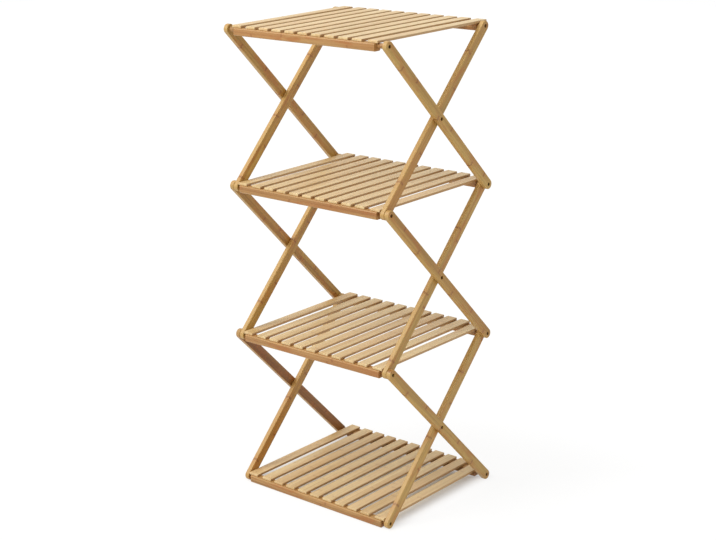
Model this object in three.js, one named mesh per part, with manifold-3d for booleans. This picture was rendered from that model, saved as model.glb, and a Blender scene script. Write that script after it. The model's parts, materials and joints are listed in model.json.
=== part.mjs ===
// A folding rack: slatted shelves held between scissor legs at both sides, in three tiers.
// Millimetres. X runs along the rails, Y from front to back, Z up, and the floor is at Z = 0.
import * as THREE from "three";
import { mergeVertices } from "three/addons/utils/BufferGeometryUtils.js";
import Module from "manifold-3d";

const wasm = await Module();
wasm.setup();

// ---- Overall layout ----
const tierCount = 3; // scissors at each side; there is one shelf more
const tierHeight = 310; // from one shelf's pivots up to the next
const pivotDepth = 304; // front pivot line to rear pivot line, with the rack open
const outerWidth = 404; // over the outer faces of the outer legs

// ---- Legs ----
const legWidth = 20;
const legThickness = 10;
const legEdge = 1.5; // rounding along the legs' long edges
const layerGap = 0.4; // between an outer leg and the inner leg that it crosses

// ---- Rails ----
const railEndGap = 0.4; // between a rail's end and the inner leg
const railDrop = 10; // pivot line down to the rail's bottom face
const railRise = 5; // pivot line up to the rail's top face
const railOutward = 11; // pivot line out to the rail's front or rear face
const railInward = 7; // pivot line in to the rail's other face
const railEdge = 3; // rounding along the rails' long edges
const railShoulder = 6.5; // turned round end that stands between a rail's square end and the leg
const railEndRadius = 4.5; // of that round end
const restGap = 0.3; // rear rail's top below the slats that come down over it

// ---- Slats ----
const slatWidth = 23.5;
const slatThickness = 5;
const slatEdge = 1.2; // rounding along the slats' long edges
const slatGap = 9.5; // aimed at between the slats of the middle set
const sideGap = 13.5; // between the middle set and the slat at each side
const slatEndInset = 0.5; // side slat's edge in from the rail's end
const slatSetback = 3; // front rail's face to the slats' front ends

// ---- Stop strip under the slats, behind the rear rail ----
const stopGap = 0.4; // rear rail's face to the strip
const stopDepth = 6.6;
const stopHeight = 9;
const stopInset = 1; // strip's rear face in from the slats' rear ends

// ---- Screws and spacers ----
const screwRadius = 2;
const screwGap = 0.3; // around a shank in its hole
const openPivotGap = 0.8; // around a shank where the scissor chain is opened
const screwGrip = 30; // length of shank inside a rail
const headRadius = 3.2;
const headHeight = 2.2;
const headRecess = 2; // leg's face down to the head's face
const headGap = 0.3; // around and under a head in its counterbore
const socketRadius = 1.6;
const socketDepth = 1.3;
const boltTipWall = 1.5; // wood left beyond the tip of a crossing bolt
const tipGap = 0.5; // past a shank's tip in a blind hole
const spacerRadius = 5;

// ---- Worked out from the values above ----
const shelfCount = tierCount + 1;
const pivotRise = Math.max(legWidth / 2, railDrop);
const slatOverhang = stopGap + stopDepth + stopInset;
const frontReach = Math.max(railOutward, legWidth / 2);
const rearReach = Math.max(railOutward + slatOverhang, legWidth / 2);
const frontY = -(pivotDepth + frontReach + rearReach) / 2 + frontReach;
const rearY = frontY + pivotDepth;
const legLength = Math.hypot(pivotDepth, tierHeight);
const legLean = Math.atan2(pivotDepth, tierHeight);
const outerFace = outerWidth / 2;
const outerLegX = outerFace - legThickness / 2;
const innerFace = outerFace - legThickness - layerGap;
const innerLegX = innerFace - legThickness / 2;
const railHalf = innerFace - legThickness - railEndGap;
const boreDepth = headRecess + headHeight + headGap;
const shankHole = screwRadius + screwGap;
const roundSides = 12;
const sides = [
  { name: "left", sign: -1 },
  { name: "right", sign: 1 },
];

const shelfZ = (shelf) => pivotRise + shelf * tierHeight;

// ---- Materials ----
const finishes = {
  slat: { color: 0xddbf91, roughness: 0.55, metalness: 0 },
  rail: { color: 0xc08a52, roughness: 0.5, metalness: 0 },
  leg: { color: 0xb98248, roughness: 0.5, metalness: 0 },
  spacer: { color: 0xb07c48, roughness: 0.55, metalness: 0 },
  screw: { color: 0x6f665c, roughness: 0.4, metalness: 0.9 },
};
const material = (finish) => new THREE.MeshStandardMaterial(finishes[finish]);

// ---- Joining and cutting ----
function solidOf(geometry) {
  const bare = geometry.clone();
  bare.deleteAttribute("normal");
  bare.deleteAttribute("uv");
  const merged = mergeVertices(bare, 1e-4);
  const vertProperties = Float32Array.from(merged.attributes.position.array);
  const triVerts = Uint32Array.from(merged.index.array);
  return new wasm.Manifold(new wasm.Mesh({ numProp: 3, vertProperties, triVerts }));
}

function geometryOf(solid) {
  const { vertProperties, triVerts } = solid.getMesh();
  const geometry = new THREE.BufferGeometry();
  geometry.setAttribute("position", new THREE.BufferAttribute(Float32Array.from(vertProperties), 3));
  geometry.setIndex(new THREE.BufferAttribute(Uint32Array.from(triVerts), 1));
  geometry.computeVertexNormals();
  return geometry;
}

function cut(geometry, cutters) {
  let solid = solidOf(geometry);
  for (const cutter of cutters) solid = solid.subtract(solidOf(cutter));
  return geometryOf(solid);
}

function join(geometries) {
  const [first, ...others] = geometries.map(solidOf);
  return geometryOf(others.reduce((whole, solid) => whole.add(solid), first));
}

// ---- Basic shapes ----
// A rectangle with rounded corners, from (left, bottom) to (right, top).
function roundedRectangle(left, bottom, right, top, wanted) {
  const radius = Math.min(wanted, (right - left) / 2.1, (top - bottom) / 2.1);
  const shape = new THREE.Shape();
  shape.absarc(right - radius, bottom + radius, radius, -Math.PI / 2, 0);
  shape.absarc(right - radius, top - radius, radius, 0, Math.PI / 2);
  shape.absarc(left + radius, top - radius, radius, Math.PI / 2, Math.PI);
  shape.absarc(left + radius, bottom + radius, radius, Math.PI, 1.5 * Math.PI);
  shape.closePath();
  return shape;
}

// Turns an extrusion so that its outline's x and y become Y and Z, and its depth becomes X.
function layAcross(geometry) {
  geometry.rotateX(Math.PI / 2);
  geometry.rotateZ(Math.PI / 2);
  return geometry;
}

// A bar along X with its section in Y and Z, centred on X = 0.
function bar(section, length) {
  const extrusion = new THREE.ExtrudeGeometry(section, {
    depth: length,
    bevelEnabled: false,
    curveSegments: 3,
  });
  extrusion.translate(0, 0, -length / 2);
  return layAcross(extrusion);
}

// A rod along X, from fromX to toX, at (y, z).
function rod(radius, fromX, toX, y, z) {
  const geometry = new THREE.CylinderGeometry(radius, radius, Math.abs(toX - fromX), roundSides);
  geometry.rotateZ(Math.PI / 2);
  geometry.translate((fromX + toX) / 2, y, z);
  return geometry;
}

// ---- Legs ----
// A leg lies along Z with its middle at the origin and its outer face towards sign * X.
function legBlank() {
  const radius = legWidth / 2;
  const edge = Math.min(legEdge, legThickness / 2.1);
  const outline = new THREE.Shape();
  outline.absarc(0, legLength / 2, radius, 0, Math.PI);
  outline.absarc(0, -legLength / 2, radius, Math.PI, 2 * Math.PI);
  outline.closePath();
  const blank = new THREE.ExtrudeGeometry(outline, {
    depth: legThickness - 2 * edge,
    bevelThickness: edge,
    bevelSize: edge,
    bevelOffset: -edge,
    bevelSegments: 2,
    curveSegments: 8,
  });
  blank.translate(0, 0, edge - legThickness / 2);
  return layAcross(blank);
}

// The hole for a shank, right through the leg at the height z.
function throughHole(radius, z) {
  return rod(radius, -legThickness, legThickness, 0, z);
}

// The wider hole for a screw's head, in the outer face.
function headBore(sign, z) {
  const face = (sign * legThickness) / 2;
  return rod(headRadius + headGap, face - sign * boreDepth, face + sign, 0, z);
}

// The blind hole for a crossing bolt's tip, from the outer face of an inner leg.
function blindHole(sign, z) {
  const face = (sign * legThickness) / 2;
  return rod(shankHole, -face + sign * boltTipWall, face + sign, 0, z);
}

function outerLeg(sign, tier) {
  const open = tier < tierCount;
  const topHole = screwRadius + (open ? openPivotGap : screwGap);
  const end = legLength / 2;
  return cut(legBlank(), [
    throughHole(topHole, end),
    throughHole(shankHole, 0),
    throughHole(shankHole, -end),
    headBore(sign, end),
    headBore(sign, 0),
    headBore(sign, -end),
  ]);
}

function innerLeg(sign, tier) {
  const end = legLength / 2;
  const cutters = [throughHole(shankHole, end), blindHole(sign, 0), throughHole(shankHole, -end)];
  if (tier === 1) cutters.push(headBore(sign, -end));
  if (tier === tierCount) cutters.push(headBore(sign, end));
  return cut(legBlank(), cutters);
}

// ---- Rails ----
// A rail lies along X with its pivot line on the X axis. Facing is -1 at the front, 1 at the rear.
// Its two ends are turned round, and stay below the slats that reach out over them.
function rail(facing, top) {
  const faces = [facing * railOutward, -facing * railInward];
  const section = roundedRectangle(Math.min(...faces), -railDrop, Math.max(...faces), top, railEdge);
  const squareHalf = railHalf - railShoulder;
  const endRadius = Math.min(railEndRadius, railRise - restGap);
  const blank = join([
    bar(section, 2 * squareHalf),
    rod(endRadius, -railHalf, 1 - squareHalf, 0, 0),
    rod(endRadius, squareHalf - 1, railHalf, 0, 0),
  ]);
  const holeEnd = railHalf - screwGrip - tipGap;
  return cut(blank, [
    rod(shankHole, -railHalf - 1, -holeEnd, 0, 0),
    rod(shankHole, holeEnd, railHalf + 1, 0, 0),
  ]);
}

// ---- Slats, in a shelf's frame: its origin is the middle of the front pivot line ----
const slatFrontY = slatSetback - railOutward;
const slatRearY = pivotDepth + railOutward + slatOverhang;
const sideSlatX = railHalf - slatEndInset - slatWidth / 2;
const middleReach = sideSlatX - slatWidth - sideGap;
const slatPairs = Math.round(middleReach / (slatWidth + slatGap));
const slatPitch = middleReach / slatPairs;

function slat(x) {
  const half = slatWidth / 2;
  const section = roundedRectangle(-half, railRise, half, railRise + slatThickness, slatEdge);
  const board = new THREE.ExtrudeGeometry(section, {
    depth: slatRearY - slatFrontY,
    bevelEnabled: false,
    curveSegments: 2,
  });
  board.rotateX(Math.PI / 2);
  board.translate(x, slatRearY, 0);
  return board;
}

// The strip runs under every slat and comes down behind the rear rail.
function stopStrip() {
  const strip = new THREE.BoxGeometry(2 * (railHalf - slatEndInset), stopDepth, stopHeight);
  const near = pivotDepth + railOutward + stopGap;
  strip.translate(0, near + stopDepth / 2, railRise - stopHeight / 2);
  return strip;
}

function middleSlats() {
  const boards = [];
  for (let place = -slatPairs; place <= slatPairs; place += 1) boards.push(slat(place * slatPitch));
  return join([stopStrip(), ...boards]);
}

// ---- Screws, bolts and spacers, with their outer face at X = 0 ----
function screw(sign, length) {
  const profile = [
    [0, -length],
    [screwRadius, -length],
    [screwRadius, -headHeight],
    [headRadius, -headHeight],
    [headRadius, 0],
    [0, 0],
  ].map(([radius, along]) => new THREE.Vector2(radius, along));
  const blank = new THREE.LatheGeometry(profile, roundSides);
  const socket = new THREE.CylinderGeometry(socketRadius, socketRadius, 2 * socketDepth, 6);
  const geometry = cut(blank, [socket]);
  geometry.rotateZ((-sign * Math.PI) / 2);
  return geometry;
}

function spacer(sign) {
  const length = innerFace - railHalf;
  return cut(rod(spacerRadius, 0, -sign * length, 0, 0), [
    rod(shankHole, sign, -sign * (length + 1), 0, 0),
  ]);
}

// ---- Assembly ----
const rack = new THREE.Group();

function place(group, name, geometry, finish, x) {
  const mesh = new THREE.Mesh(geometry, material(finish));
  mesh.name = name;
  mesh.position.x = x;
  group.add(mesh);
  return mesh;
}

// A group whose origin lies in the middle plane of the rack, at (y, z).
function groupAt(y, z) {
  const group = new THREE.Group();
  group.position.set(0, y, z);
  rack.add(group);
  return group;
}

// Screws from the legs' outermost face at this corner, through the legs, into both ends of a rail.
function addScrews(group, name, face) {
  const headFace = face - headRecess;
  const length = headFace - (railHalf - screwGrip);
  for (const side of sides) {
    place(group, `${name}_${side.name}`, screw(side.sign, length), "screw", side.sign * headFace);
  }
}

// Spacers that fill an inner leg's place where the corner has an outer leg only.
function addSpacers(group, name) {
  for (const side of sides) {
    place(group, `${name}_${side.name}`, spacer(side.sign), "spacer", side.sign * innerFace);
  }
}

for (let shelf = 0; shelf < shelfCount; shelf += 1) {
  const isBottom = shelf === 0;
  const isTop = shelf === tierCount;

  const panel = groupAt(frontY, shelfZ(shelf));
  place(panel, `rail_front_${shelf}`, rail(-1, railRise), "rail", 0);
  place(panel, `slats_${shelf}`, middleSlats(), "slat", 0);
  for (const side of sides) {
    place(panel, `slat_${side.name}_${shelf}`, slat(0), "slat", side.sign * sideSlatX);
  }
  addScrews(panel, `screw_front_${shelf}`, isBottom ? innerFace : outerFace);
  if (isTop) addSpacers(panel, "spacer_front");

  const rearRail = groupAt(rearY, shelfZ(shelf));
  place(rearRail, `rail_rear_${shelf}`, rail(1, railRise - restGap), "rail", 0);
  addScrews(rearRail, `screw_rear_${shelf}`, isTop ? innerFace : outerFace);
  if (isBottom) addSpacers(rearRail, "spacer_rear");
}

for (let tier = 1; tier <= tierCount; tier += 1) {
  const crossing = groupAt((frontY + rearY) / 2, shelfZ(tier - 0.5));
  for (const { name, sign } of sides) {
    const outerName = `leg_outer_${tier}_${name}`;
    const innerName = `leg_inner_${tier}_${name}`;
    const outer = place(crossing, outerName, outerLeg(sign, tier), "leg", sign * outerLegX);
    const inner = place(crossing, innerName, innerLeg(sign, tier), "leg", sign * innerLegX);
    outer.rotation.x = legLean;
    inner.rotation.x = -legLean;

    const headFace = outerFace - headRecess;
    const tip = innerFace - legThickness + boltTipWall + tipGap;
    place(crossing, `bolt_${tier}_${name}`, screw(sign, headFace - tip), "screw", sign * headFace);
  }
}

export default rack;
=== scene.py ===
# Dresses the folding rack: its bamboo slats, rails and legs, its screws, and the studio round it.
# Metres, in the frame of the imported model: X along the rails, Y from front to back, Z up.
import json
import math
import random

import bpy
from mathutils import Matrix, Vector


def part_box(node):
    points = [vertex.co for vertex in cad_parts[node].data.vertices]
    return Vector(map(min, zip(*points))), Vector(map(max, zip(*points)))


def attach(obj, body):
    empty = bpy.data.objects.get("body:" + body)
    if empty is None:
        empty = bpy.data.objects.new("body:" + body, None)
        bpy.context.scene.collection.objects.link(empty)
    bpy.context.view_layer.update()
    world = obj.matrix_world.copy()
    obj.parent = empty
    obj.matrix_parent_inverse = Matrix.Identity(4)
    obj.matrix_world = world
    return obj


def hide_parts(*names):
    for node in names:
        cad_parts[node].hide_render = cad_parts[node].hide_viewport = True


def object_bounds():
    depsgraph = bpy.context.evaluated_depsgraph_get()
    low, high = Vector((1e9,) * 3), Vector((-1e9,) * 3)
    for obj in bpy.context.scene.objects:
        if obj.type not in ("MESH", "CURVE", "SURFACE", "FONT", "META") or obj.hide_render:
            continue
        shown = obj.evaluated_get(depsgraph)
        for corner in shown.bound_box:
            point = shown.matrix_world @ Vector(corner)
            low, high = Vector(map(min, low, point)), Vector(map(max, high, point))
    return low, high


bl_info = {
    "name": "Folding Rack Dresser",
    "version": (1, 0, 0),
    "blender": (4, 5, 0),
    "location": "3D View > Sidebar > Rack",
    "description": "Models and finishes the pieces of a folding bamboo rack on its packed frame",
    "category": "Add Mesh",
}

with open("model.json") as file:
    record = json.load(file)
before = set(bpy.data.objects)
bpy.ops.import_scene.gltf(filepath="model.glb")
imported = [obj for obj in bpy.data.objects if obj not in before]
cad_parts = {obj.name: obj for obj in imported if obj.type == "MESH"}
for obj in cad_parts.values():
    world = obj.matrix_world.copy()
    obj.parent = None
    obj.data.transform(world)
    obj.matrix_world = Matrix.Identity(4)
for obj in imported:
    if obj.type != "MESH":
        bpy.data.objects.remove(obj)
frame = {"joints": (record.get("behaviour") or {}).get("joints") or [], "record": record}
cad_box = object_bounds()

SHELVES = range(4)
TIERS = range(1, 4)
SIDES = {"left": -1, "right": 1}

MILLIMETRE = 0.001
CLOSE = 0.01 * MILLIMETRE  # two lengths that differ by less are taken as alike
OVERSHOOT = MILLIMETRE  # by which a cutter or a rail's neck reaches past the face that it meets

# The sides of round shapes, and the angle up to which two faces are shaded as one.
ROD_SIDES = 40
LEG_END_SIDES = 50
HEAD_SIDES = 48
SOCKET_SIDES = 6
SMOOTH_ANGLE = math.radians(40)

# The mesh's axes that run across, through and along a board.
SLAT_AXES = (0, 2, 1)
RAIL_AXES = (2, 1, 0)
LEG_AXES = (1, 0, 2)

# A board's tone is one of this many steps from light to dark. One leg is set darker than them all.
TONES = 80
DARKENED_LEG = "outer_leg_1_left"
DARKENED_TONE = 152

body_of_node = {
    node: body
    for body, nodes in frame["record"]["behaviour"]["bodies"].items()
    for node in nodes
}
joint_place = {joint["name"]: Vector(joint["pos_m"]) for joint in frame["joints"]}
front_pivots = [joint_place[f"shelf_{shelf}_lift"] for shelf in SHELVES]
rear_pivots = [joint_place["outer_legs_1_turn"]]
rear_pivots += [joint_place[f"rear_rail_{shelf}_turn"] for shelf in SHELVES if shelf > 0]


# ---- Sizes and colours that a user would change ----
def length(label, description, millimetres):
    """A length given in millimetres and kept in metres."""
    return bpy.props.FloatProperty(
        name=label, description=description, default=millimetres * MILLIMETRE, unit="LENGTH",
        min=0.0, precision=4,
    )


def paint(label, description, code):
    """A colour written as six hexadecimal digits, kept as the linear values that shaders use."""
    channels = [int(code[place:place + 2], 16) / 255 for place in (0, 2, 4)]
    # The numbers are those of the sRGB curve.
    linear = [c / 12.92 if c <= 0.04045 else ((c + 0.055) / 1.055) ** 2.4 for c in channels]
    return bpy.props.FloatVectorProperty(
        name=label, description=description, default=linear, subtype="COLOR", min=0.0, max=1.0,
    )


class RackSizes(bpy.types.PropertyGroup):
    """Sizes of the pieces that the frame's boxes don't give"""

    leg_width: length("Leg width", "Width of a leg and diameter of its round ends", 20)
    leg_edge: length("Leg edge", "Rounding along a leg's edges", 1.5)
    rail_edge: length("Rail edge", "Rounding along a rail's long edges", 3)
    rail_end_edge: length("Rail end edge", "Rounding round a rail's sawn ends", 0.5)
    rail_shoulder: length("Rail shoulder", "Length of a rail's turned round ends", 6.5)
    rail_end_radius: length("Rail end radius", "Radius of a rail's turned round ends", 4.5)
    slat_edge: length("Slat edge", "Rounding along a slat's edges", 1.2)
    side_gap: length("Side gap", "Between the middle slats and the slat at each side", 13.5)
    middle_count: bpy.props.IntProperty(
        name="Middle slats", description="Slats between the two side slats", default=9, min=2,
    )
    strip_depth: length("Strip depth", "Depth of the stop strip under the slats", 6.6)
    strip_inset: length("Strip inset", "Strip's rear face in from the slats' rear ends", 1)
    strip_edge: length("Strip edge", "Rounding along the stop strip's edges", 0.6)
    bore_radius: length("Bore radius", "Radius of the bore that a screw's head lies in", 3.5)
    bore_depth: length("Bore depth", "Depth of that bore", 4.5)
    bore_edge: length("Bore edge", "Small rounding at the mouth of a hole or bore", 0.35)
    shank_radius: length("Shank radius", "Radius of a screw's shank", 2)
    shank_gap: length("Shank gap", "Room round a shank in its hole", 0.3)
    open_gap: length("Open pivot gap", "Room round a shank where the scissor chain is opened", 0.8)
    bolt_wall: length("Bolt wall", "Wood left beyond the tip of a crossing bolt", 1.5)
    rail_hole: length("Rail hole", "Depth of the screw hole in a rail's end", 30.5)
    head_height: length("Head height", "Height of a screw's head", 2.2)
    head_edge: length("Head edge", "Rounding of a screw's head and tip", 0.4)
    socket_radius: length("Socket radius", "Radius of the hexagon socket in a screw's head", 1.6)
    socket_depth: length("Socket depth", "Depth of that socket", 1.3)
    spacer_edge: length("Spacer edge", "Rounding of a spacer's rims", 0.8)


class RackColours(bpy.types.PropertyGroup):
    """Colours of the rack's finishes"""

    slat_light: paint("Slat, light", "Pale fibres of the slats", "efd8a6")
    slat_dark: paint("Slat, dark", "Darker fibres of the slats", "c5a066")
    slat_warm: paint("Slat, warm", "Warm tint in the slats", "ddb682")
    # Painted shade: the slats' narrow sides are darkened to stand in for the shade in the gaps between
    # slats.
    slat_side_shade: paint("Slat, side", "Sawn sides of the slats", "9c6630")
    rail_light: paint("Rail, light", "Light fibres of the rails", "c0955a")
    rail_dark: paint("Rail, dark", "Dark fibres of the rails", "825827")
    rail_warm: paint("Rail, warm", "Warm tint in the rails", "a86328")
    leg_light: paint("Leg, light", "Light fibres of the legs", "d0aa5a")
    leg_dark: paint("Leg, dark", "Dark fibres of the legs", "8b611f")
    leg_warm: paint("Leg, warm", "Warm tint in the legs", "b06c26")
    # Painted highlight: the legs' narrow sides are lightened to stand in for the light on their front
    # edges.
    leg_side: paint("Leg, side", "Narrow sides of the legs", "cba566")
    knuckle: paint("Knuckle", "The bamboo's joints across its fibres", "7c4012")
    steel: paint("Screw", "Dark plated steel of the screws and bolts", "4a3a2c")
    floor: paint("Floor", "The studio's floor", "f4f4f2")


# ---- Modelling by hand, step by step ----
def deselect_all():
    """Leaves edit mode and deselects everything, because operators act on all that is selected."""
    if bpy.context.object and bpy.context.object.mode != "OBJECT":
        bpy.ops.object.mode_set(mode="OBJECT")
    bpy.ops.object.select_all(action="DESELECT")


def work_on(piece):
    """Makes one piece the only selected one."""
    deselect_all()
    piece.select_set(True)
    bpy.context.view_layer.objects.active = piece


def rename(piece, name):
    """Gives a piece and its mesh one name."""
    piece.name = name
    piece.data.name = name


def settle_place(piece):
    """Moves the object's place, turn and size into its mesh."""
    work_on(piece)
    bpy.ops.object.transform_apply(location=True, rotation=True, scale=True)


def new_piece(name):
    """Names the primitive that was added last and settles its place."""
    piece = bpy.context.object
    rename(piece, name)
    settle_place(piece)
    return piece


def block(name, low, high):
    """A block from its lowest to its highest corner."""
    deselect_all()
    low, high = Vector(low), Vector(high)
    bpy.ops.mesh.primitive_cube_add(size=1, location=(low + high) / 2)
    bpy.context.object.scale = high - low
    return new_piece(name)


def rod(name, radius, from_x, to_x, y=0.0, z=0.0, sides=ROD_SIDES):
    """A round rod along X."""
    deselect_all()
    bpy.ops.mesh.primitive_cylinder_add(
        vertices=sides, radius=radius, depth=abs(to_x - from_x),
        location=((from_x + to_x) / 2, y, z), rotation=(math.pi / 2, 0, math.pi / 2),
    )
    return new_piece(name)


def copy_piece(pattern, name, shift):
    """A copy with its own mesh, moved in its mesh."""
    piece = pattern.copy()
    piece.data = pattern.data.copy()
    rename(piece, name)
    bpy.context.scene.collection.objects.link(piece)
    piece.data.transform(Matrix.Translation(shift))
    return piece


def throw_away(piece):
    """Removes a pattern or cutter and its mesh."""
    mesh = piece.data
    bpy.data.objects.remove(piece)
    bpy.data.meshes.remove(mesh)


def select_parts(piece, kind, wanted):
    """Goes into edit mode with those vertices, edges or polygons selected that wanted() accepts."""
    work_on(piece)
    modes = [kind == mode for mode in ("vertices", "edges", "polygons")]
    bpy.context.tool_settings.mesh_select_mode = modes
    bpy.ops.object.mode_set(mode="EDIT")
    bpy.ops.mesh.select_all(action="DESELECT")
    bpy.ops.object.mode_set(mode="OBJECT")
    for part in getattr(piece.data, kind):
        part.select = wanted(part)
    bpy.ops.object.mode_set(mode="EDIT")


def round_edges(piece, width, segments, wanted):
    """Rounds the edges whose two end points wanted() accepts."""

    def is_wanted(edge):
        first, second = (piece.data.vertices[index].co for index in edge.vertices)
        return wanted(first, second)

    select_parts(piece, "edges", is_wanted)
    bpy.ops.mesh.bevel(offset=width, segments=segments, affect="EDGES")
    bpy.ops.object.mode_set(mode="OBJECT")


def combine(piece, other, operation):
    """Joins another shape to a piece or takes it away, and throws the other away."""
    work_on(piece)
    modifier = piece.modifiers.new("Combine", "BOOLEAN")
    modifier.operation = operation
    modifier.solver = "EXACT"
    modifier.object = other
    bpy.ops.object.modifier_apply(modifier=modifier.name)
    throw_away(other)


def cut(piece, cutter):
    """Cuts a cutter's shape out of a piece."""
    combine(piece, cutter, "DIFFERENCE")


def same(first, second):
    """Whether two lengths are alike."""
    return abs(first - second) < CLOSE


# ---- Which edges are rounded, by their two end points ----
def any_edge(first, second):
    """Every edge."""
    return True


def across_x(first, second):
    """The edges that lie square to X."""
    return same(first.x, second.x)


def along_x(first, second):
    """The edges that don't lie square to X."""
    return not across_x(first, second)


def at_x(x):
    """The edges that lie in the plane at x."""
    return lambda first, second: same(first.x, x) and same(second.x, x)


def rim(x, y, z, radius):
    """The edges of the round rim that lies in the plane at x, about the point (y, z)."""

    def on_rim(point):
        return same(point.x, x) and same(math.hypot(point.y - y, point.z - z), radius)

    return lambda first, second: on_rim(first) and on_rim(second)


# ---- How the grain lies in a board ----
def lay_grain(piece, middle, half_sizes, axes, edge, round_ends=False):
    """Stores each point's place in its own board, so that the pattern leans with the board.

    axes names the mesh's axes that run across, through and along the board. The arris value is 1 at
    the rounded edges and 0 on the flat faces, and the side value is 1 on the narrow faces. Every
    board starts elsewhere along the stalk, up to a metre away, and has its own tone.
    """
    mesh = piece.data
    dice = random.Random(piece.name)
    start = dice.uniform(-1.0, 1.0)
    step = DARKENED_TONE if piece.name == DARKENED_LEG else dice.randrange(TONES)
    # The half keeps a tone clear of the steps' limits, where the shader rounds it down.
    tone = (step + 0.5) / TONES
    layers = {"grain": "FLOAT_VECTOR", "tone": "FLOAT", "arris": "FLOAT", "side": "FLOAT"}
    for name, kind in layers.items():
        mesh.attributes.new(name, kind, "POINT")
    # A layer's data can move when another is added, so all of them are looked up afterwards.
    grain, tones, arris, side = (mesh.attributes[name].data for name in layers)
    across_half, through_half, along_half = half_sizes
    for index, vertex in enumerate(mesh.vertices):
        place = vertex.co - middle
        across, through, along = (place[axis] for axis in axes)
        reach = abs(across)
        if round_ends:
            reach = math.hypot(across, max(0.0, abs(along) - (along_half - across_half)))
        from_side = (across_half - reach) / edge
        from_face = (through_half - abs(through)) / edge
        grain[index].vector = (across, through, along + start)
        tones[index].value = tone
        arris[index].value = min(1.0, max(0.0, 1.0 - max(from_side, from_face)))
        side[index].value = min(1.0, max(0.0, 1.0 - from_side))


def lay_grain_in_box(piece, axes, edge):
    """Lays the grain in a straight board, whose middle and sizes are those of its mesh."""
    points = [vertex.co for vertex in piece.data.vertices]
    low = Vector([min(point[axis] for point in points) for axis in range(3)])
    high = Vector([max(point[axis] for point in points) for axis in range(3)])
    halves = (high - low) / 2
    lay_grain(piece, (low + high) / 2, [halves[axis] for axis in axes], axes, edge)


# ---- Finishes ----
NOISE_ROUGHNESS = 0.6
FALLING = (1.0, 0.0)
WHITE = (1, 1, 1, 1)


class Shader:
    """The nodes of a material or world, with short ways to add and join them."""

    def __init__(self, owner):
        owner.use_nodes = True
        self.owner = owner
        self.tree = owner.node_tree
        self.tree.nodes.clear()

    def node(self, kind, inputs=None, **settings):
        """Adds a node. Each input takes another node's socket or a fixed value."""
        node = self.tree.nodes.new(kind)
        for key, value in settings.items():
            setattr(node, key, value)
        for key, value in (inputs or {}).items():
            if isinstance(value, bpy.types.NodeSocket):
                self.tree.links.new(value, node.inputs[key])
            else:
                node.inputs[key].default_value = value
        return node

    def attribute(self, name, output="Fac"):
        """A value that lay_grain() stored."""
        return self.node("ShaderNodeAttribute", attribute_name=name).outputs[output]

    def object_place(self):
        """A point's place in its object's own coordinates."""
        return self.node("ShaderNodeTexCoord").outputs["Object"]

    def math(self, operation, first, second=0.0):
        """A calculation with one or two values."""
        return self.node("ShaderNodeMath", {0: first, 1: second}, operation=operation).outputs[0]

    def total(self, *terms):
        """The sum of values that are each multiplied by a weight of their own."""
        total = 0.0
        for value, weight in terms:
            total = self.math("ADD", total, self.math("MULTIPLY", value, weight))
        return total

    def from_middle(self, value):
        """How far a value's fraction lies from a half: 0 midway between two whole numbers."""
        return self.math("ABSOLUTE", self.math("SUBTRACT", self.math("FRACT", value), 0.5))

    def vector(self, x, y, z):
        """Three values as one vector."""
        return self.node("ShaderNodeCombineXYZ", {"X": x, "Y": y, "Z": z}).outputs[0]

    def parts(self, vector):
        """The X, Y and Z of a vector."""
        return self.node("ShaderNodeSeparateXYZ", {0: vector}).outputs

    def noise(self, vector, detail=3.0):
        """Noise with one wave or so in each unit of the vector."""
        inputs = {"Vector": vector, "Scale": 1.0, "Detail": detail, "Roughness": NOISE_ROUGHNESS}
        return self.node("ShaderNodeTexNoise", inputs).outputs["Fac"]

    def spread(self, value, source, target=(0.0, 1.0)):
        """Spreads the source range of a value smoothly over the target range."""
        inputs = {0: value, 1: source[0], 2: source[1], 3: target[0], 4: target[1]}
        return self.node("ShaderNodeMapRange", inputs, interpolation_type="SMOOTHSTEP").outputs[0]

    def mix(self, factor, first, second):
        """Goes from the first colour to the second as the factor goes from 0 to 1."""
        return self.node("ShaderNodeMix", {0: factor, 6: first, 7: second}, data_type="RGBA").outputs[2]

    def bump(self, height, strength, distance):
        """A normal that follows a height pattern, with the distance in metres."""
        inputs = {"Height": height, "Strength": strength, "Distance": distance}
        return self.node("ShaderNodeBump", inputs).outputs[0]

    def seen(self):
        """1 for rays that see a surface or its reflection, and 0 for rays that light something."""
        path = self.node("ShaderNodeLightPath").outputs
        seen = self.math("MAXIMUM", path["Is Camera Ray"], path["Is Glossy Ray"])
        return self.math("MAXIMUM", seen, path["Is Transmission Ray"])

    def finish(self, surface, output="ShaderNodeOutputMaterial"):
        """Joins the last node to the output, and gives the material or world back."""
        self.tree.links.new(surface.outputs[0], self.node(output).inputs["Surface"])
        return self.owner


def opaque(colour):
    """A colour property as the four values that a socket takes."""
    return (*colour, 1.0)


# Noise drawn out along a board: its waves a metre across and along the fibres, and its detail.
FINE_FIBRES = (750.0, 12.0, 1.0)
STREAKS = (330.0, 5.0, 3.0)
PATCHES = (70.0, 14.0, 3.0)
DRIFT = (20.0, 4.0, 1.0)

# The range of each noise over which what it draws comes in.
STREAK_RANGE = (0.34, 0.66)
FINE_RANGE = (0.3, 0.7)
TINT_RANGE = (0.42, 0.62)
STAIN_RANGE = (0.48, 0.66)
# The arrises' wear and painted highlight come in over this range.
WEAR_AND_HIGHLIGHT_RANGE = (0.35, 0.65)

# What takes a place from the light to the dark colour, as shares of the whole way.
STREAK_SHARE = 0.36
LAMELLA_SHARE = 0.32
BOARD_SHARE = 0.26
FINE_SHARE = 0.08

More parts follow.
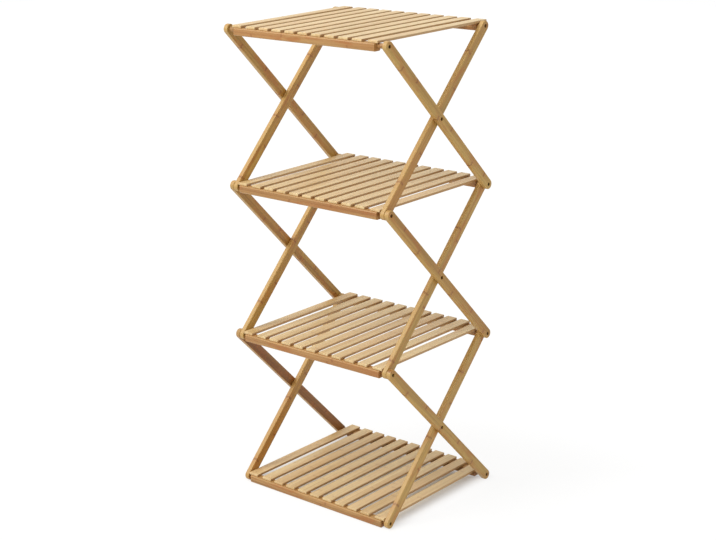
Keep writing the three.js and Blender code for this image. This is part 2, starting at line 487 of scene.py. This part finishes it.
LANE_SHIFT = 0.04  # moves the seams off the middle of a board, as a share of a lamella
SEAM_RANGE = (0.46, 0.5)  # where a seam lies, from a lamella's middle, as a share of its width
KNUCKLE_WAVE = 0.010  # how far the streaks bend a knuckle, in metres
KNUCKLE_SHIFT = 7.0  # over how many spacings the lamellas' knuckles are scattered
LINE_RANGE = (0.0006, 0.0030)  # over which a knuckle's line fades away from it, in metres
HALO_RANGE = (0.002, 0.018)  # the same for the warm stain round it
TINT_TURNS = 11.3  # spreads the boards' warm tints over their tones
DARKENING_RANGE = (1.0, 1.9)  # the tones over which a board darkens towards the knuckle colour

# How strongly a colour shows, from 0 to 1. The halo's is a share of its knuckle's.
DARKENING_STRENGTH = 0.55
# The side colour paints light and shade on a board's narrow faces: shade on the slats, a highlight on
# the other boards.
PAINTED_SIDE_STRENGTH = 0.6
HALO_STRENGTH = 0.5
SEAM_STRENGTH = 0.18
# The arrises are lightened as wear and as a painted highlight.
WEAR_AND_HIGHLIGHT_STRENGTHS = (0.15, 0.55)

# How high each pattern stands, as shares of the bump's distance.
FINE_HEIGHT = 0.25
STREAK_HEIGHT = 1.0
LINE_HEIGHT = 0.4
SEAM_HEIGHT = -0.3
WOOD_BUMP = (0.3, 0.15 * MILLIMETRE)

# The roughness of the smoothest fibres, and what the others add to it.
LACQUER_ROUGHNESS = 0.36
FIBRE_ROUGHNESS = 0.22
COAT = {"Coat Weight": 0.10, "Coat Roughness": 0.3}


def bamboo(name, light, dark, warm, side, knuckle, lamella, spacing, mottle, mark):
    """Lacquered strip bamboo: glued lamellas, fine fibres, knuckles across them, arrises lightened as
    wear and as a painted highlight, and painted light and shade on the narrow sides.

    lamella is the width of a strip and spacing the distance between knuckles, in metres. mottle is
    how strongly warm patches show, and mark how strongly knuckles do.
    """
    shader = Shader(bpy.data.materials.new(name))
    across, through, along = shader.parts(shader.attribute("grain", "Vector"))
    tone = shader.attribute("tone")
    elsewhere = shader.math("MULTIPLY", tone, float(TONES))

    def fibres(per_metre_across, per_metre_along, detail):
        """Noise that is drawn out along the board."""
        wide = shader.math("ADD", shader.math("MULTIPLY", across, per_metre_across), elsewhere)
        deep = shader.math("MULTIPLY", through, per_metre_across)
        long = shader.math("MULTIPLY", along, per_metre_along)
        return shader.noise(shader.vector(wide, deep, long), detail)

    fine, streaks, patches, drift = (
        fibres(*waves) for waves in (FINE_FIBRES, STREAKS, PATCHES, DRIFT)
    )

    # Each lamella has its own shade and its own place along the stalk.
    lane = shader.math("ADD", shader.math("DIVIDE", across, lamella), LANE_SHIFT)
    cell = shader.vector(shader.math("FLOOR", lane), shader.math("FLOOR", elsewhere), 0.0)
    white_noise = shader.node("ShaderNodeTexWhiteNoise", {"Vector": cell}, noise_dimensions="3D")
    draw = white_noise.outputs["Value"]
    seam = shader.spread(shader.from_middle(lane), SEAM_RANGE)

    # A knuckle is a thin wavy band that crosses one lamella.
    wave = shader.math("MULTIPLY", shader.math("SUBTRACT", streaks, 0.5), KNUCKLE_WAVE)
    turn = shader.math("DIVIDE", shader.math("ADD", along, wave), spacing)
    turn = shader.math("ADD", turn, shader.math("MULTIPLY", draw, KNUCKLE_SHIFT))
    from_knuckle = shader.math("MULTIPLY", shader.from_middle(turn), spacing)
    line = shader.spread(from_knuckle, LINE_RANGE, FALLING)
    halo = shader.spread(from_knuckle, HALO_RANGE, FALLING)

    # The boards and lamellas differ in shade, and warm patches and tints lie over them.
    shade = shader.total(
        (shader.spread(streaks, STREAK_RANGE), STREAK_SHARE),
        (draw, LAMELLA_SHARE),
        (tone, BOARD_SHARE),
        (shader.spread(fine, FINE_RANGE), FINE_SHARE),
    )
    board_tint = shader.math("FRACT", shader.math("MULTIPLY", tone, TINT_TURNS))
    tint = shader.math("MULTIPLY", shader.spread(drift, TINT_RANGE), board_tint)
    stain = shader.math("MAXIMUM", shader.spread(patches, STAIN_RANGE), tint)
    # The arrises are lightened in patches: partly wear, partly a painted highlight along the edges.
    wear_and_highlight = shader.spread(drift, WEAR_AND_HIGHLIGHT_RANGE, WEAR_AND_HIGHLIGHT_STRENGTHS)

    colour = shader.mix(shade, opaque(light), opaque(dark))
    for strength, over in (
        (shader.math("MULTIPLY", stain, mottle), warm),
        # One leg is darkened towards the knuckle colour.
        (shader.spread(tone, DARKENING_RANGE, (0.0, DARKENING_STRENGTH)), knuckle),
        # Painted shade on the slats' narrow sides, painted highlight on the narrow sides of the legs,
        # rails, strips and spacers.
        (shader.math("MULTIPLY", shader.attribute("side"), PAINTED_SIDE_STRENGTH), side),
        (shader.math("MULTIPLY", halo, mark * HALO_STRENGTH), warm),
        (shader.math("MULTIPLY", line, mark), knuckle),
        (shader.math("MULTIPLY", seam, SEAM_STRENGTH), knuckle),
        # Wear and painted highlight: the rounded arrises lighten towards the light colour.
        (shader.math("MULTIPLY", shader.attribute("arris"), wear_and_highlight), light),
    ):
        colour = shader.mix(strength, colour, opaque(over))

    relief = shader.total(
        (fine, FINE_HEIGHT), (streaks, STREAK_HEIGHT), (line, LINE_HEIGHT), (seam, SEAM_HEIGHT),
    )
    roughness = shader.math("MULTIPLY", fine, FIBRE_ROUGHNESS)
    surface = shader.node(
        "ShaderNodeBsdfPrincipled",
        {
            "Base Color": colour,
            "Roughness": shader.math("ADD", roughness, LACQUER_ROUGHNESS),
            "Normal": shader.bump(relief, *WOOD_BUMP),
            **COAT,
        },
    )
    return shader.finish(surface)


TURNING_MARKS = (9000.0, 900.0, 900.0)  # waves a metre along X, Y and Z
SCUFF_RANGE = (0.45, 0.8)
SCUFF_PALENESS = 2.2
STEEL_NOISE_RANGE = (0.2, 0.8)
STEEL_ROUGHNESS = (0.28, 0.5)
STEEL_METALLIC = 0.85
STEEL_BUMP = (0.2, 0.05 * MILLIMETRE)


def plated_steel(name, base):
    """Dark plated steel with fine turning marks and rubbed high spots."""
    shader = Shader(bpy.data.materials.new(name))
    places = zip(shader.parts(shader.object_place()), TURNING_MARKS)
    stretched = [shader.math("MULTIPLY", place, waves) for place, waves in places]
    marks = shader.noise(shader.vector(*stretched))
    pale = [min(1.0, channel * SCUFF_PALENESS) for channel in base]
    surface = shader.node(
        "ShaderNodeBsdfPrincipled",
        {
            "Base Color": shader.mix(shader.spread(marks, SCUFF_RANGE), opaque(base), opaque(pale)),
            "Metallic": STEEL_METALLIC,
            "Roughness": shader.spread(marks, STEEL_NOISE_RANGE, STEEL_ROUGHNESS),
            "Normal": shader.bump(marks, *STEEL_BUMP),
        },
    )
    return shader.finish(surface)


# How each kind of board is glued up and marked, as bamboo() explains.
BOARDS = {
    "slats": {"lamella": 0.0118, "spacing": 0.27, "mottle": 0.45, "mark": 0.20},
    "rails": {"lamella": 0.0075, "spacing": 0.24, "mottle": 0.7, "mark": 0.40},
    "legs": {"lamella": 0.0100, "spacing": 0.15, "mottle": 0.6, "mark": 0.60},
    "spacers": {"lamella": 0.0060, "spacing": 0.20, "mottle": 0.4, "mark": 0.30},
}


def finish_for(slot):
    """The rack's finish for a material slot, made when it is first asked for."""
    name = f"{slot}_finish"
    if name in bpy.data.materials:
        return bpy.data.materials[name]
    paints = bpy.context.scene.rack_colours
    if slot == "screws":
        return plated_steel(name, paints.steel)
    slats = (paints.slat_light, paints.slat_dark, paints.slat_warm, paints.slat_side_shade)
    # The last colour of each is painted on the narrow sides as light and shade; rails, strips and
    # spacers take their light colour there as a painted highlight.
    rails = (paints.rail_light, paints.rail_dark, paints.rail_warm, paints.rail_light)
    legs = (paints.leg_light, paints.leg_dark, paints.leg_warm, paints.leg_side)
    colours = {"slats": slats, "rails": rails, "legs": legs, "spacers": rails}[slot]
    return bamboo(name, *colours, paints.knuckle, **BOARDS[slot])


def finish_piece(piece, node, slot):
    """Smooths a piece, gives it its finish, and lets it stand for its node on the node's body."""
    work_on(piece)
    bpy.ops.object.shade_smooth_by_angle(angle=SMOOTH_ANGLE)
    weighted = piece.modifiers.new("Even shading", "WEIGHTED_NORMAL")
    weighted.keep_sharp = True
    bpy.ops.object.modifier_apply(modifier=weighted.name)
    piece.data.materials.clear()
    piece.data.materials.append(finish_for(slot))
    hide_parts(node)
    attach(piece, body_of_node[node])


# ---- Slats and stop strips ----
def slat_places(shelf, sizes):
    """The middle of each slat along X and the node that it stands for, from left to right."""
    left_low, left_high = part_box(f"slat_left_{shelf}")
    right_low, right_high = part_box(f"slat_right_{shelf}")
    width = left_high.x - left_low.x
    first = left_high.x + sizes.side_gap + width / 2
    last = right_low.x - sizes.side_gap - width / 2
    step = (last - first) / (sizes.middle_count - 1)
    places = [((left_low.x + left_high.x) / 2, f"slat_left_{shelf}")]
    places += [(first + step * number, f"slats_{shelf}") for number in range(sizes.middle_count)]
    places.append(((right_low.x + right_high.x) / 2, f"slat_right_{shelf}"))
    return places


class RACK_OT_slats(bpy.types.Operator):
    """Lays the slats of every shelf from the front rail to behind the rear rail"""

    bl_idname = "rack.slats"
    bl_label = "Slats"

    def execute(self, context):
        sizes = context.scene.rack_sizes
        low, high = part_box("slat_left_0")
        pattern = block("slat_pattern", low, high)
        round_edges(pattern, sizes.slat_edge, segments=3, wanted=any_edge)
        middle = (low + high) / 2
        for shelf in SHELVES:
            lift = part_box(f"slat_left_{shelf}")[0].z - low.z
            for number, (x, node) in enumerate(slat_places(shelf, sizes)):
                shift = Vector((x - middle.x, 0, lift))
                slat = copy_piece(pattern, f"slat_board_{shelf}_{number}", shift)
                lay_grain_in_box(slat, SLAT_AXES, sizes.slat_edge)
                finish_piece(slat, node, "slats")
        throw_away(pattern)
        return {"FINISHED"}


class RACK_OT_strips(bpy.types.Operator):
    """Fixes the stop strip under the slats, behind each rear rail"""

    bl_idname = "rack.strips"
    bl_label = "Stop Strips"

    def execute(self, context):
        sizes = context.scene.rack_sizes
        for shelf in SHELVES:
            low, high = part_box(f"slats_{shelf}")
            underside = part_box(f"slat_left_{shelf}")[0].z
            rear = high.y - sizes.strip_inset
            strip = block(
                f"stop_strip_{shelf}",
                (low.x, rear - sizes.strip_depth, low.z),
                (high.x, rear, underside),
            )
            round_edges(strip, sizes.strip_edge, segments=2, wanted=any_edge)
            lay_grain_in_box(strip, RAIL_AXES, sizes.strip_edge)
            finish_piece(strip, f"slats_{shelf}", "rails")
        return {"FINISHED"}


# ---- Rails ----
def shank_hole(sizes):
    """The radius of the hole that a screw's shank goes through."""
    return sizes.shank_radius + sizes.shank_gap


class RACK_OT_rails(bpy.types.Operator):
    """Makes the front and rear rail of every shelf, with turned ends and a screw hole in each"""

    bl_idname = "rack.rails"
    bl_label = "Rails"

    def rail(self, name, node, pivot, sizes):
        """A rail in the box of its node, with its round ends and holes on the pivot line."""
        low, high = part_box(node)
        shoulder = Vector((sizes.rail_shoulder, 0, 0))
        rail = block(name, low + shoulder, high - shoulder)
        round_edges(rail, sizes.rail_edge, segments=5, wanted=along_x)
        round_edges(rail, sizes.rail_end_edge, segments=2, wanted=across_x)
        for end in (low.x, high.x):
            self.turn_end(rail, sizes, pivot, end)
        return rail

    def turn_end(self, rail, sizes, pivot, end):
        """Draws a round end out of a rail's square end and drills it for the screw."""
        sign = math.copysign(1, end)
        root = end - sign * (sizes.rail_shoulder + OVERSHOOT)
        neck = rod("neck", sizes.rail_end_radius, root, end, pivot.y, pivot.z)
        round_edges(neck, sizes.rail_end_edge, segments=2, wanted=at_x(end))
        combine(rail, neck, "UNION")
        depth = end - sign * sizes.rail_hole
        cut(rail, rod("hole", shank_hole(sizes), end + sign * OVERSHOOT, depth, pivot.y, pivot.z))

    def execute(self, context):
        sizes = context.scene.rack_sizes
        for row, pivots in (("front", front_pivots), ("rear", rear_pivots)):
            first = f"rail_{row}_0"
            pattern = self.rail("rail_pattern", first, pivots[0], sizes)
            for shelf in SHELVES:
                node = f"rail_{row}_{shelf}"
                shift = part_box(node)[0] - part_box(first)[0]
                rail = copy_piece(pattern, f"{row}_rail_{shelf}", shift)
                lay_grain_in_box(rail, RAIL_AXES, sizes.rail_edge)
                finish_piece(rail, node, "rails")
            throw_away(pattern)
        return {"FINISHED"}


# ---- Legs ----
class RACK_OT_legs(bpy.types.Operator):
    """Makes the scissor legs with their round ends, screw bores and pivot holes"""

    bl_idname = "rack.legs"
    bl_label = "Legs"

    def blank(self, sizes, thickness, half):
        """A leg along Z with round ends at the heights half and -half, and no holes."""
        # With these sides no point lies level with the middle, so the halves come apart cleanly.
        leg = rod(
            "leg_blank", sizes.leg_width / 2, -thickness / 2, thickness / 2, sides=LEG_END_SIDES,
        )
        for direction in (1, -1):
            select_parts(leg, "vertices", lambda vertex: vertex.co.z * direction > 0)
            bpy.ops.transform.translate(value=(0, 0, half * direction))
            bpy.ops.object.mode_set(mode="OBJECT")
        round_edges(leg, sizes.leg_edge, segments=4, wanted=across_x)
        return leg

    def drill(self, leg, sizes, thickness, sign, holes):
        """Drills holes, each with its height, radius and depth, and whether it has a bore."""
        face = sign * thickness / 2
        for z, radius, depth, has_bore in holes:
            cut(leg, rod("hole", radius, face + sign * OVERSHOOT, face - sign * depth, 0, z))
            mouth = radius
            if has_bore:
                mouth = sizes.bore_radius
                floor = face - sign * sizes.bore_depth
                cut(leg, rod("bore", mouth, face + sign * OVERSHOOT, floor, 0, z))
            round_edges(leg, sizes.bore_edge, segments=2, wanted=rim(face, 0, z, mouth))

    def outer_holes(self, sizes, tier, half, thickness):
        """An outer leg's holes. Below the top tier its upper end is where the chain is opened."""
        shank = shank_hole(sizes)
        top = shank if tier == TIERS[-1] else sizes.shank_radius + sizes.open_gap
        through = thickness + OVERSHOOT
        return [(half, top, through, True), (0, shank, through, True), (-half, shank, through, True)]

    def inner_holes(self, sizes, tier, half, thickness):
        """An inner leg's holes. Only at the rack's top and bottom do its screws' heads lie in it."""
        shank = shank_hole(sizes)
        through = thickness + OVERSHOOT
        return [
            (half, shank, through, tier == TIERS[-1]),
            (0, shank, thickness - sizes.bolt_wall, False),
            (-half, shank, through, tier == TIERS[0]),
        ]

    def leg(self, kind, tier, side, sizes):
        """Makes a leg upright, then leans it from its lower to its upper pivot."""
        node = f"leg_{kind}_{tier}_{side}"
        low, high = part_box(node)
        thickness = high.x - low.x
        outer = kind == "outer"
        top = (front_pivots if outer else rear_pivots)[tier]
        bottom = (rear_pivots if outer else front_pivots)[tier - 1]
        half = (top - bottom).length / 2
        holes = (self.outer_holes if outer else self.inner_holes)(sizes, tier, half, thickness)
        leg = self.blank(sizes, thickness, half)
        rename(leg, f"{kind}_leg_{tier}_{side}")
        self.drill(leg, sizes, thickness, SIDES[side], holes)
        radius = sizes.leg_width / 2
        halves = (radius, thickness / 2, half + radius)
        lay_grain(leg, Vector(), halves, LEG_AXES, sizes.leg_edge, round_ends=True)
        middle = (top + bottom) / 2
        leg.rotation_euler.x = -math.atan2(top.y - bottom.y, top.z - bottom.z)
        leg.location = ((low.x + high.x) / 2, middle.y, middle.z)
        settle_place(leg)
        finish_piece(leg, node, "legs")

    def execute(self, context):
        sizes = context.scene.rack_sizes
        for tier in TIERS:
            for side in SIDES:
                self.leg("outer", tier, side, sizes)
                self.leg("inner", tier, side, sizes)
        return {"FINISHED"}


# ---- Spacers ----
class RACK_OT_spacers(bpy.types.Operator):
    """Fills an inner leg's place with a round spacer where the corner has an outer leg only"""

    bl_idname = "rack.spacers"
    bl_label = "Spacers"

    def execute(self, context):
        sizes = context.scene.rack_sizes
        for row, pivot in (("front", front_pivots[-1]), ("rear", rear_pivots[0])):
            for side in SIDES:
                node = f"spacer_{row}_{side}"
                low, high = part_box(node)
                radius = (high.y - low.y) / 2
                spacer = rod(f"{row}_spacer_{side}", radius, low.x, high.x, pivot.y, pivot.z)
                round_edges(spacer, sizes.spacer_edge, segments=3, wanted=across_x)
                ends = (low.x - OVERSHOOT, high.x + OVERSHOOT)
                cut(spacer, rod("hole", shank_hole(sizes), *ends, pivot.y, pivot.z))
                lay_grain_in_box(spacer, RAIL_AXES, sizes.spacer_edge)
                finish_piece(spacer, node, "spacers")
        return {"FINISHED"}


# ---- Screws and bolts ----
FACES_INWARD = -0.9  # the head's inner face has a normal that points further inward than this
LENGTH_DIGITS = 4  # screws are alike when their lengths are, to a tenth of a millimetre


class RACK_OT_screws(bpy.types.Operator):
    """Puts a socket-head screw in every corner and a bolt in every crossing"""

    bl_idname = "rack.screws"
    bl_label = "Screws"

    def screw(self, name, node, sizes):
        """A head with a hexagon socket on a shank with a blunt tip, in the box of its node."""
        low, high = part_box(node)
        sign = math.copysign(1, low.x + high.x)
        face, tip = (high.x, low.x) if sign > 0 else (low.x, high.x)
        neck = face - sign * sizes.head_height
        middle = (low + high) / 2
        radius = (high.y - low.y) / 2
        screw = rod(name, radius, face, neck, middle.y, middle.z, sides=HEAD_SIDES)

        # The shank is drawn out of the head's inner face.
        select_parts(screw, "polygons", lambda polygon: polygon.normal.x * sign < FACES_INWARD)
        bpy.ops.mesh.inset(thickness=radius - sizes.shank_radius)
        bpy.ops.mesh.extrude_region_move(TRANSFORM_OT_translate={"value": (tip - neck, 0, 0)})
        bpy.ops.object.mode_set(mode="OBJECT")

        head_rim = rim(face, middle.y, middle.z, radius)
        round_edges(screw, sizes.head_edge, segments=3, wanted=head_rim)
        round_edges(screw, sizes.head_edge, segments=1, wanted=at_x(tip))
        ends = (face + sign * OVERSHOOT, face - sign * sizes.socket_depth)
        socket = rod(
            "socket", sizes.socket_radius, *ends, middle.y, middle.z, sides=SOCKET_SIDES,
        )
        cut(screw, socket)
        return screw

    def execute(self, context):
        sizes = context.scene.rack_sizes
        patterns = {}
        nodes = [node for node in body_of_node if node.startswith(("screw_", "bolt_"))]
        for node in nodes:
            low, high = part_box(node)
            kind = (low.x > 0, round(high.x - low.x, LENGTH_DIGITS))
            if kind not in patterns:
                patterns[kind] = (self.screw(f"pattern_{len(patterns)}", node, sizes), low.copy())
            pattern, place = patterns[kind]
            piece = copy_piece(pattern, f"steel_{node}", low - place)
            finish_piece(piece, node, "screws")
        for pattern, _ in patterns.values():
            throw_away(pattern)
        return {"FINISHED"}


# ---- Studio ----
FLOOR_SIZE = 14
FLOOR_WAVES = (40, 40, 40)  # of its roughness, in each metre
FLOOR_NOISE_RANGE = (0.2, 0.8)
FLOOR_ROUGHNESS = (0.82, 0.95)
FLOOR_SPECULAR = 0.1
GLOW_STRENGTH = 1.05

# How far beyond the rack's box the floor turns white, in metres, and how much of the way.
NEAR_RANGE, NEAR_WHITE = (-0.05, 0.01), 0.82
FAR_RANGE, FAR_WHITE = (0.01, 0.6), 0.18

WORLD_LIGHT = 0.5
LIGHTS_AIM = Vector((0, 0, 0.5))

# The camera of the photograph, fitted to the corners and edges of the rack.
CAMERA_PLACE = Vector((1.9753, -2.3367, 1.3759))
CAMERA_YAW = math.radians(40.404)
CAMERA_PITCH = math.radians(16.783)
CAMERA_ROLL = math.radians(-0.988)
LENS_PIXELS = 1590.8
IMAGE_WIDTH = 716
SENSOR_WIDTH = 36
FARTHEST_SEEN = 60


class RACK_OT_stage(bpy.types.Operator):
    """Sets up the pale floor, the soft studio light and the photograph's camera"""

    bl_idname = "rack.stage"
    bl_label = "Studio"

    def floor(self, colour):
        """A matt floor that shows shadows under the rack and is white to the eye beside it."""
        deselect_all()
        bpy.ops.mesh.primitive_plane_add(size=FLOOR_SIZE)
        floor = new_piece("studio_floor")
        shader = Shader(bpy.data.materials.new("studio_floor"))
        place = shader.object_place()
        scaled = shader.node("ShaderNodeVectorMath", {0: place, 1: FLOOR_WAVES}, operation="MULTIPLY")
        noise = shader.noise(scaled.outputs[0])
        matt = shader.node(
            "ShaderNodeBsdfPrincipled",
            {
                "Base Color": opaque(colour),
                "Roughness": shader.spread(noise, FLOOR_NOISE_RANGE, FLOOR_ROUGHNESS),
                "Specular IOR Level": FLOOR_SPECULAR,
            },
        )
        glow = shader.node("ShaderNodeEmission", {"Color": WHITE, "Strength": GLOW_STRENGTH})

        x, y, _ = shader.parts(place)
        beside_x = shader.math("SUBTRACT", shader.math("ABSOLUTE", x), cad_box[1].x)
        beside_y = shader.math("SUBTRACT", shader.math("ABSOLUTE", y), cad_box[1].y)
        away = shader.math("MAXIMUM", beside_x, beside_y)
        near = shader.spread(away, NEAR_RANGE, (0.0, NEAR_WHITE))
        far = shader.spread(away, FAR_RANGE, (0.0, FAR_WHITE))
        share = shader.math("MULTIPLY", shader.seen(), shader.math("ADD", near, far))
        ends = {0: share, 1: matt.outputs[0], 2: glow.outputs[0]}
        mixed = shader.node("ShaderNodeMixShader", ends)
        floor.data.materials.append(shader.finish(mixed))

    def world(self, scene):
        """An even light from all round, which is white where it is seen."""
        shader = Shader(bpy.data.worlds.new("studio"))
        light, white = (
            shader.node("ShaderNodeBackground", {"Color": WHITE, "Strength": strength}).outputs[0]
            for strength in (WORLD_LIGHT, 1.0)
        )
        mixed = shader.node("ShaderNodeMixShader", {0: shader.seen(), 1: light, 2: white})
        scene.world = shader.finish(mixed, "ShaderNodeOutputWorld")

    def lamp(self, name, place, size, watts, colour):
        """A square soft box that faces the middle of the rack."""
        bpy.ops.object.light_add(type="AREA", location=place)
        lamp = bpy.context.object
        lamp.name = name
        lamp.data.size = size
        lamp.data.energy = watts
        lamp.data.color = colour
        aim = LIGHTS_AIM - Vector(place)
        lamp.rotation_euler = aim.to_track_quat("-Z", "Y").to_euler()

    def camera(self, scene):
        """The photograph's camera, turned from straight down by its tilt, yaw and roll."""
        data = bpy.data.cameras.new("camera")
        data.sensor_fit = "HORIZONTAL"
        data.sensor_width = SENSOR_WIDTH
        data.lens = LENS_PIXELS / IMAGE_WIDTH * SENSOR_WIDTH
        data.clip_end = FARTHEST_SEEN
        camera = bpy.data.objects.new("camera", data)
        scene.collection.objects.link(camera)
        turn = Matrix.Rotation(CAMERA_YAW, 4, "Z")
        tilt = Matrix.Rotation(math.pi / 2 - CAMERA_PITCH, 4, "X")
        roll = Matrix.Rotation(CAMERA_ROLL, 4, "Z")
        camera.matrix_world = Matrix.Translation(CAMERA_PLACE) @ turn @ tilt @ roll
        scene.camera = camera

    def execute(self, context):
        scene = context.scene
        self.floor(scene.rack_colours.floor)
        self.world(scene)
        self.lamp("key", (-1.5, -2.4, 3.2), size=2.2, watts=92, colour=(1.0, 0.995, 0.975))
        self.lamp("top", (-0.5, -0.4, 3.6), size=1.8, watts=14, colour=(1.0, 1.0, 0.99))
        self.lamp("fill", (3.4, -1.0, 1.6), size=2.8, watts=19, colour=(1.0, 0.995, 0.98))
        self.camera(scene)
        scene.view_settings.view_transform = "Standard"
        return {"FINISHED"}


class RACK_PT_pieces(bpy.types.Panel):
    """Lists the rack's pieces in the order in which they are made"""

    bl_idname = "RACK_PT_pieces"
    bl_label = "Folding Rack"
    bl_space_type = "VIEW_3D"
    bl_region_type = "UI"
    bl_category = "Rack"

    def draw(self, context):
        column = self.layout.column()
        for operator in OPERATORS:
            column.operator(operator.bl_idname)
        for group in (context.scene.rack_sizes, context.scene.rack_colours):
            for name in group.__annotations__:
                column.prop(group, name)


OPERATORS = (
    RACK_OT_slats,
    RACK_OT_strips,
    RACK_OT_rails,
    RACK_OT_legs,
    RACK_OT_spacers,
    RACK_OT_screws,
    RACK_OT_stage,
)


def register():
    for group in (RackSizes, RackColours):
        bpy.utils.register_class(group)
    bpy.types.Scene.rack_sizes = bpy.props.PointerProperty(type=RackSizes)
    bpy.types.Scene.rack_colours = bpy.props.PointerProperty(type=RackColours)
    for operator in OPERATORS:
        bpy.utils.register_class(operator)
    bpy.utils.register_class(RACK_PT_pieces)


def unregister():
    bpy.utils.unregister_class(RACK_PT_pieces)
    for operator in reversed(OPERATORS):
        bpy.utils.unregister_class(operator)
    del bpy.types.Scene.rack_colours
    del bpy.types.Scene.rack_sizes
    for group in (RackColours, RackSizes):
        bpy.utils.unregister_class(group)


def main():
    register()
    bpy.ops.rack.slats()
    bpy.ops.rack.strips()
    bpy.ops.rack.rails()
    bpy.ops.rack.legs()
    bpy.ops.rack.spacers()
    bpy.ops.rack.screws()
    bpy.ops.rack.stage()


if __name__ == "__main__":
    main()
